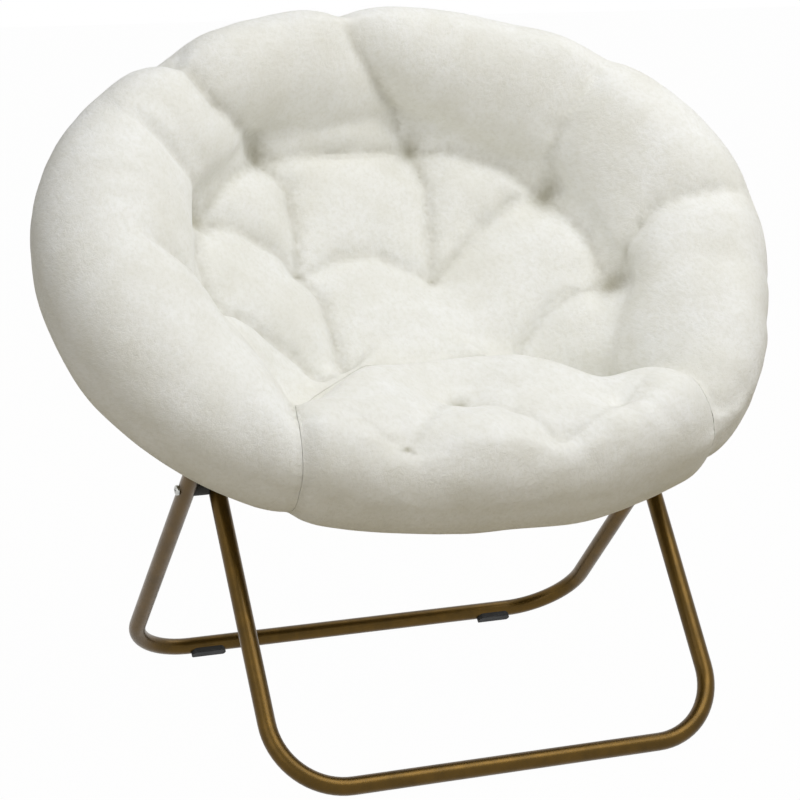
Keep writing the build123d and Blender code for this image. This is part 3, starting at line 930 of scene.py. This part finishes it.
def plain_material(name: str) -> tuple[bpy.types.Material, NodeTree, bpy.types.Node]:
    """Starts a material with a Principled shader.

    Args:
        name: Its name.

    Returns:
        The material, its nodes and the shader.
    """
    material = bpy.data.materials.new(name)
    material.use_nodes = True
    nodes = NodeTree(material.node_tree)
    shader = nodes.add("ShaderNodeBsdfPrincipled")
    out = nodes.add("ShaderNodeOutputMaterial")
    nodes.join(shader.outputs["BSDF"], out.inputs["Surface"])
    return material, nodes, shader


def grain_group() -> bpy.types.NodeTree:
    """Shared fine grain: a mask of uneven patches and a normal with small bumps.

    Returns:
        The node group, built once.
    """
    if "fine_grain" in bpy.data.node_groups:
        return bpy.data.node_groups["fine_grain"]
    tree = bpy.data.node_groups.new("fine_grain", "ShaderNodeTree")
    for name, way, kind in (
        ("Vector", "INPUT", "Vector"), ("Scale", "INPUT", "Float"), ("Height", "INPUT", "Float"),
        ("Mask", "OUTPUT", "Float"), ("Normal", "OUTPUT", "Vector"),
    ):
        tree.interface.new_socket(name=name, in_out=way, socket_type=f"NodeSocket{kind}")
    nodes = NodeTree(tree)
    source = nodes.add("NodeGroupInput")
    target = nodes.add("NodeGroupOutput")
    fine = nodes.add("ShaderNodeTexNoise")
    fine.inputs["Detail"].default_value = 3.0
    nodes.join(source.outputs["Vector"], fine.inputs["Vector"])
    nodes.join(source.outputs["Scale"], fine.inputs["Scale"])
    patches = nodes.noise(source.outputs["Vector"], 38.0, 5.0, 0.62)
    bump = nodes.bump(fine.outputs["Fac"], 0.0006, 1.0)
    nodes.join(source.outputs["Height"], bump.inputs["Strength"])
    nodes.join(nodes.ramp(patches, 0.32, 0.68, 0.0, 1.0), target.inputs["Mask"])
    nodes.join(bump.outputs["Normal"], target.inputs["Normal"])
    return tree


@dataclass(frozen=True)
class HardFinish:
    """A painted, plated or moulded finish with slight patches and fine grain."""

    name: str
    colour: Triple
    worn: Triple
    metallic: float
    roughness: Pair
    grain_scale: float
    grain: float
    coat: float = 0.0

    def material(self) -> bpy.types.Material:
        """Builds the finish's material.

        Returns:
            The material, built once.
        """
        if self.name in bpy.data.materials:
            return bpy.data.materials[self.name]
        material, nodes, shader = plain_material(self.name)
        place = nodes.add("ShaderNodeTexCoord")
        grain = nodes.add("ShaderNodeGroup", node_tree=grain_group())
        nodes.join(place.outputs["Object"], grain.inputs["Vector"])
        grain.inputs["Scale"].default_value = self.grain_scale
        grain.inputs["Height"].default_value = self.grain
        nodes.join(nodes.mix(grain.outputs["Mask"], self.colour, self.worn), shader.inputs["Base Color"])
        rough = nodes.ramp(grain.outputs["Mask"], 0.0, 1.0, *self.roughness)
        nodes.join(rough, shader.inputs["Roughness"])
        nodes.join(grain.outputs["Normal"], shader.inputs["Normal"])
        shader.inputs["Metallic"].default_value = self.metallic
        shader.inputs["Coat Weight"].default_value = self.coat
        shader.inputs["Coat Roughness"].default_value = 0.18
        return material


@dataclass(frozen=True)
class FurFinish:
    """Short-pile ivory fur cloth: brushed patches, dense fine pile, and painted shade that darkens the colour in
    the folds, tufts and seam.
    """

    name: str = "ivory_pile"
    colour: Triple = linear(248, 248, 244)
    brushed: Triple = linear(239, 238, 230)
    shaded: Triple = linear(221, 219, 205)
    # Colour of the painted shade in the channels, tufts and seam.
    deep: Triple = linear(128, 120, 80)
    patch_scale: float = 13.0
    mottle_scale: float = 62.0
    lock_scale: float = 210.0
    pile_scale: float = 900.0
    lock_height: float = 0.0032
    lock_strength: float = 0.4
    pile_height: float = 0.0014
    pile_strength: float = 0.6
    roughness: float = 0.95
    sheen: float = 0.25

    def material(self) -> bpy.types.Material:
        """Builds the cloth's material.

        Returns:
            The material, built once.
        """
        if self.name in bpy.data.materials:
            return bpy.data.materials[self.name]
        material, nodes, shader = plain_material(self.name)
        place = nodes.add("ShaderNodeTexCoord").outputs["Object"]
        combed = nodes.add("ShaderNodeMapping")
        combed.inputs["Scale"].default_value = (1.0, 0.45, 1.0)
        combed.inputs["Rotation"].default_value = (0.5, 0.3, 0.4)
        nodes.join(place, combed.inputs["Vector"])
        brushed = combed.outputs["Vector"]
        patches = nodes.ramp(nodes.noise(place, self.patch_scale, 5.0, 0.6), 0.38, 0.66, 0.0, 1.0)
        locks = nodes.noise(brushed, self.lock_scale, 6.0, 0.65)
        pile = nodes.noise(brushed, self.pile_scale, 3.0, 0.7)
        mottled = nodes.ramp(nodes.noise(brushed, self.mottle_scale, 4.0, 0.6), 0.40, 0.64, 0.0, 0.35)
        base = nodes.mix(mottled, nodes.mix(patches, self.colour, self.brushed), self.brushed)
        speckled = nodes.mix(nodes.ramp(locks, 0.44, 0.68, 0.0, 0.32), base, self.shaded)
        # Painted shade: the crease shade attribute darkens the colour towards an olive tone in the channels, tufts
        # and seam.
        painted_crease_shade = nodes.add("ShaderNodeAttribute", attribute_name="painted_crease_shade").outputs["Fac"]
        painted_fold_shade = nodes.ramp(painted_crease_shade, 0.05, 1.0, 0.0, 0.85)
        nodes.join(nodes.mix(painted_fold_shade, speckled, self.deep), shader.inputs["Base Color"])
        coarse = nodes.bump(locks, self.lock_height, self.lock_strength)
        fine = nodes.bump(pile, self.pile_height, self.pile_strength)
        nodes.join(coarse.outputs["Normal"], fine.inputs["Normal"])
        nodes.join(fine.outputs["Normal"], shader.inputs["Normal"])
        shader.inputs["Roughness"].default_value = self.roughness
        shader.inputs["Sheen Weight"].default_value = self.sheen
        shader.inputs["Sheen Roughness"].default_value = 0.5
        shader.inputs["Specular IOR Level"].default_value = 0.2
        return material


@dataclass(frozen=True)
class ChairFinishes:
    """Every finish on the chair, by the record's slot."""

    frame_paint: HardFinish = HardFinish(
        "bronze_gold_paint", linear(90, 67, 22), linear(75, 56, 17), 0.9, (0.28, 0.36), 1400.0, 0.25, 0.12
    )
    screw_chrome: HardFinish = HardFinish(
        "plated_screw", linear(205, 205, 200), linear(180, 180, 176), 1.0, (0.12, 0.22), 900.0, 0.1
    )
    zinc_steel: HardFinish = HardFinish(
        "zinc_steel", linear(168, 170, 170), linear(140, 142, 144), 1.0, (0.32, 0.48), 700.0, 0.3
    )
    black_plastic: HardFinish = HardFinish(
        "black_plastic", linear(26, 26, 27), linear(34, 34, 35), 0.0, (0.42, 0.55), 1500.0, 0.5
    )
    pad_rubber: HardFinish = HardFinish(
        "black_pads", linear(24, 24, 24), linear(36, 36, 35), 0.0, (0.6, 0.75), 1100.0, 0.6
    )
    washer_nylon: HardFinish = HardFinish(
        "nylon", linear(222, 218, 206), linear(208, 204, 192), 0.0, (0.4, 0.5), 900.0, 0.2
    )
    cushion_fur: FurFinish = FurFinish()

    def dress(self) -> None:
        """Gives every CAD node the finish of its material slot."""
        for entry in frame["record"]["subparts"]:
            node = frame["nodes"][entry["node"]]
            finish = getattr(self, entry["material_slot"])
            if isinstance(finish, HardFinish):
                for slot in node.material_slots:
                    slot.material = finish.material()
                LOG.info("%s: %s", entry["node"], finish.name)


@dataclass(frozen=True)
class Studio:
    """Plain pale floor, soft lamps and the viewpoint of the photograph."""

    azimuth: float = math.radians(-21.04)
    elevation: float = math.radians(12.66)
    distance: float = 3.133
    target_height: float = 0.4
    target_ahead: float = 0.104
    lens: float = 109.13
    shift: Pair = (-0.0066, -0.0130)
    floor_half: float = 12.0
    floor_drop: float = 0.0005
    floor_colour: Triple = (0.48, 0.43, 0.32)
    floor_glow: float = 0.985
    sky_light: float = 0.30
    aim_height: float = 0.5
    lamps: tuple[tuple[str, Triple, float, float], ...] = (
        ("key", (0.7, -1.3, 2.9), 2.2, 55.0),
        ("fill", (-2.3, -1.9, 1.5), 2.0, 14.0),
        ("top", (1.8, 0.9, 2.4), 1.6, 13.0),
    )

    def camera(self) -> None:
        """Sets the camera at the photograph's angle."""
        pivot = next(j for j in frame["joints"] if j["name"] == "leg_fold")["pos_m"]
        target = Vector((0.0, pivot[1] + self.target_ahead, self.target_height))
        back = Vector((
            math.sin(self.azimuth) * math.cos(self.elevation),
            -math.cos(self.azimuth) * math.cos(self.elevation),
            math.sin(self.elevation),
        ))
        data = bpy.data.cameras.new("view")
        data.lens = self.lens
        data.sensor_width = 36.0
        data.shift_x, data.shift_y = self.shift
        data.clip_end = 50.0
        viewer = bpy.data.objects.new("view", data)
        viewer.location = target + back * self.distance
        viewer.rotation_euler = back.to_track_quat("Z", "Y").to_euler()
        bpy.context.scene.collection.objects.link(viewer)
        bpy.context.scene.camera = viewer

    def floor(self) -> None:
        """Lays a large pale floor that shows white and keeps the shadow."""
        work = bmesh.new()
        bmesh.ops.create_grid(work, x_segments=1, y_segments=1, size=self.floor_half)
        bmesh.ops.translate(work, verts=work.verts, vec=(0.0, 0.0, -self.floor_drop))
        mesh = bpy.data.meshes.new("floor")
        work.to_mesh(mesh)
        work.free()
        floor = new_object("floor", mesh)
        material = bpy.data.materials.new("pale_floor")
        material.use_nodes = True
        nodes = NodeTree(material.node_tree)
        out = nodes.add("ShaderNodeOutputMaterial")
        diffuse = nodes.add("ShaderNodeBsdfDiffuse")
        diffuse.inputs["Color"].default_value = (*self.floor_colour, 1.0)
        glow = nodes.add("ShaderNodeEmission")
        seen = self.seen_by_eye(nodes)
        amount = nodes.add("ShaderNodeMath", operation="MULTIPLY")
        amount.inputs[1].default_value = self.floor_glow
        nodes.join(seen, amount.inputs[0])
        both = nodes.add("ShaderNodeMixShader")
        nodes.join(amount.outputs[0], both.inputs["Fac"])
        nodes.join(diffuse.outputs["BSDF"], both.inputs[1])
        nodes.join(glow.outputs["Emission"], both.inputs[2])
        nodes.join(both.outputs["Shader"], out.inputs["Surface"])
        floor.data.materials.append(material)

    def seen_by_eye(self, nodes: NodeTree) -> Socket:
        """1 for camera, glossy and transmitted rays.

        Args:
            nodes: The tree to add to.

        Returns:
            The value.
        """
        path = nodes.add("ShaderNodeLightPath")
        first = nodes.add("ShaderNodeMath", operation="MAXIMUM")
        second = nodes.add("ShaderNodeMath", operation="MAXIMUM")
        nodes.join(path.outputs["Is Camera Ray"], first.inputs[0])
        nodes.join(path.outputs["Is Glossy Ray"], first.inputs[1])
        nodes.join(first.outputs[0], second.inputs[0])
        nodes.join(path.outputs["Is Transmission Ray"], second.inputs[1])
        return second.outputs[0]

    def backdrop(self) -> None:
        """Sets a white world that lights softly."""
        world = bpy.data.worlds.new("backdrop")
        bpy.context.scene.world = world
        world.use_nodes = True
        nodes = NodeTree(world.node_tree)
        out = nodes.add("ShaderNodeOutputWorld")
        sky = nodes.add("ShaderNodeBackground")
        sky.inputs["Color"].default_value = (1.0, 1.0, 1.0, 1.0)
        nodes.join(sky.outputs["Background"], out.inputs["Surface"])
        nodes.join(nodes.ramp(self.seen_by_eye(nodes), 0.0, 1.0, self.sky_light, 1.0), sky.inputs["Strength"])

    def lamp(self, name: str, place: Triple, size: float, watts: float) -> None:
        """Hangs a square soft lamp that faces the chair.

        Args:
            name: Name of the lamp.
            place: Where it hangs.
            size: Its side in metres.
            watts: Its power.
        """
        data = bpy.data.lights.new(name, "AREA")
        data.energy = watts
        data.size = size
        lamp = bpy.data.objects.new(name, data)
        lamp.location = place
        aim = Vector(place) - Vector((0.0, 0.0, self.aim_height))
        lamp.rotation_euler = aim.to_track_quat("Z", "Y").to_euler()
        bpy.context.scene.collection.objects.link(lamp)

    def set_up(self) -> None:
        """Builds the whole studio."""
        bpy.context.scene.view_settings.view_transform = "Standard"
        self.camera()
        self.floor()
        self.backdrop()
        for name, place, size, watts in self.lamps:
            self.lamp(name, place, size, watts)


# Where the stitches sit, in ring coordinates x, v, n.
BACK_LEFT = (-0.132, 0.235, 0.009)
BACK_MIDDLE = (0.080, 0.245, 0.0)
BACK_RIGHT = (0.237, 0.142, 0.0)
ARM_RIGHT = (0.277, -0.020, -0.009)
BOWL_LEFT = (-0.109, 0.079, -0.046)
BOWL_RIGHT = (0.066, 0.063, -0.053)
ARM_LEFT_UPPER = (-0.245, 0.134, -0.002)
ARM_LEFT_LOWER = (-0.257, -0.006, 0.0)
SEAT_LEFT = (-0.119, -0.324, 0.088)
SEAT_REAR = (-0.004, -0.198, 0.030)
SEAT_MIDDLE = (0.074, -0.330, 0.089)
SEAT_RIGHT = (0.176, -0.272, 0.070)
TUFTS = [
    Tuft(BACK_LEFT, 0.040), Tuft(BACK_MIDDLE, 0.040), Tuft(BACK_RIGHT, 0.038), Tuft(ARM_RIGHT, 0.038),
    Tuft(BOWL_LEFT, 0.034), Tuft(BOWL_RIGHT, 0.034), Tuft(ARM_LEFT_UPPER, 0.038),
    Tuft(ARM_LEFT_LOWER, 0.036), Tuft(SEAT_LEFT, 0.036, 0.040), Tuft(SEAT_REAR, 0.038, 0.042),
    Tuft(SEAT_MIDDLE, 0.042, 0.042), Tuft(SEAT_RIGHT, 0.036, 0.042),
]
CHANNELS = [
    Channel(
        ((-0.295, 0.330, 0.120), (-0.236, 0.257, 0.142), (-0.206, 0.227, 0.113), BACK_LEFT),
        0.036, 0.085, 0.12,
    ),
    Channel((BACK_LEFT, (-0.103, 0.196, -0.020), (-0.099, 0.138, -0.029), BOWL_LEFT), 0.034, 0.075, 0.1),
    Channel((BACK_LEFT, (-0.026, 0.236, 0.009), BACK_MIDDLE), 0.026, 0.070, 0.1),
    Channel(
        ((-0.020, 0.370, 0.110), (0.001, 0.300, 0.117), (0.044, 0.267, 0.048), BACK_MIDDLE),
        0.032, 0.080, 0.15,
    ),
    Channel((BACK_MIDDLE, (0.091, 0.189, -0.027), (0.083, 0.144, -0.039), BOWL_RIGHT), 0.034, 0.075, 0.1),
    Channel((BACK_MIDDLE, (0.129, 0.230, 0.005), (0.185, 0.190, 0.015), BACK_RIGHT), 0.030, 0.075, 0.1),
    Channel((BACK_RIGHT, (0.256, 0.060, 0.018), ARM_RIGHT), 0.030, 0.075, 0.1),
    Channel(
        (BACK_RIGHT, (0.243, 0.165, 0.040), (0.270, 0.195, 0.090), (0.329, 0.250, 0.131)),
        0.032, 0.080, 0.2,
    ),
    Channel(((0.203, 0.150, 0.004), (0.142, 0.120, -0.020), BOWL_RIGHT), 0.032, 0.075, 0.1),
    Channel(
        (
            ARM_RIGHT, (0.293, 0.009, 0.048), (0.323, 0.025, 0.086), (0.373, 0.023, 0.110),
            (0.440, 0.018, 0.105),
        ),
        0.032, 0.080, 0.25,
    ),
    Channel(
        (
            ARM_RIGHT, (0.230, -0.019, -0.019), (0.188, -0.031, -0.040), (0.143, -0.069, -0.053),
            (0.124, -0.110, -0.066),
        ),
        0.028, 0.065, 0.1,
    ),
    Channel((BOWL_LEFT, (-0.053, 0.104, -0.055), (0.002, 0.104, -0.049), BOWL_RIGHT), 0.028, 0.065, 0.1),
    Channel(
        (BOWL_LEFT, (-0.088, 0.028, -0.056), (-0.091, -0.040, -0.060), (-0.103, -0.110, -0.066)),
        0.032, 0.070, 0.1,
    ),
    Channel(
        (ARM_LEFT_UPPER, (-0.191, 0.128, -0.012), (-0.127, 0.099, -0.034), BOWL_LEFT),
        0.034, 0.075, 0.1,
    ),
    Channel(
        (ARM_LEFT_LOWER, (-0.214, -0.023, -0.028), (-0.160, -0.060, -0.045), (-0.120, -0.110, -0.060)),
        0.034, 0.075, 0.1,
    ),
    Channel((ARM_LEFT_UPPER, (-0.262, 0.060, 0.010), ARM_LEFT_LOWER), 0.028, 0.075, 0.1),
    Channel((ARM_LEFT_UPPER, (-0.300, 0.165, 0.080), (-0.350, 0.190, 0.125)), 0.026, 0.080, 0.5),
    Channel((ARM_LEFT_LOWER, (-0.330, 0.0, 0.090), (-0.370, 0.0, 0.110)), 0.026, 0.080, 0.5),
    Channel((BACK_LEFT, (-0.190, 0.190, 0.012), ARM_LEFT_UPPER), 0.028, 0.075, 0.1),
    Channel((SEAT_LEFT, (-0.060, -0.255, 0.050), SEAT_REAR), 0.014, 0.070, 0.1),
    Channel((SEAT_REAR, (0.050, -0.270, 0.050), SEAT_MIDDLE), 0.020, 0.075, 0.1),
    Channel((SEAT_MIDDLE, (0.130, -0.305, 0.075), SEAT_RIGHT), 0.018, 0.070, 0.1),
    Channel((SEAT_RIGHT, (0.215, -0.255, 0.060), (0.245, -0.240, 0.050)), 0.014, 0.060, 0.4),
    Channel((SEAT_LEFT, (-0.170, -0.270, 0.060), (-0.200, -0.225, 0.040)), 0.010, 0.060, 0.4),
]


def main() -> None:
    """Dresses the frame, makes the two cushions and sets the studio."""
    logging.basicConfig(level=logging.INFO, format="%(name)s: %(message)s")
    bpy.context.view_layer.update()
    Studio().set_up()
    finishes = ChairFinishes()
    finishes.dress()
    cover = TuftedCover(CHANNELS, TUFTS).make(finishes.cushion_fur)
    for piece in (cover[Cushion.BACK], cover[Cushion.SEAT]):
        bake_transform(piece)


if __name__ == "__main__":
    main()
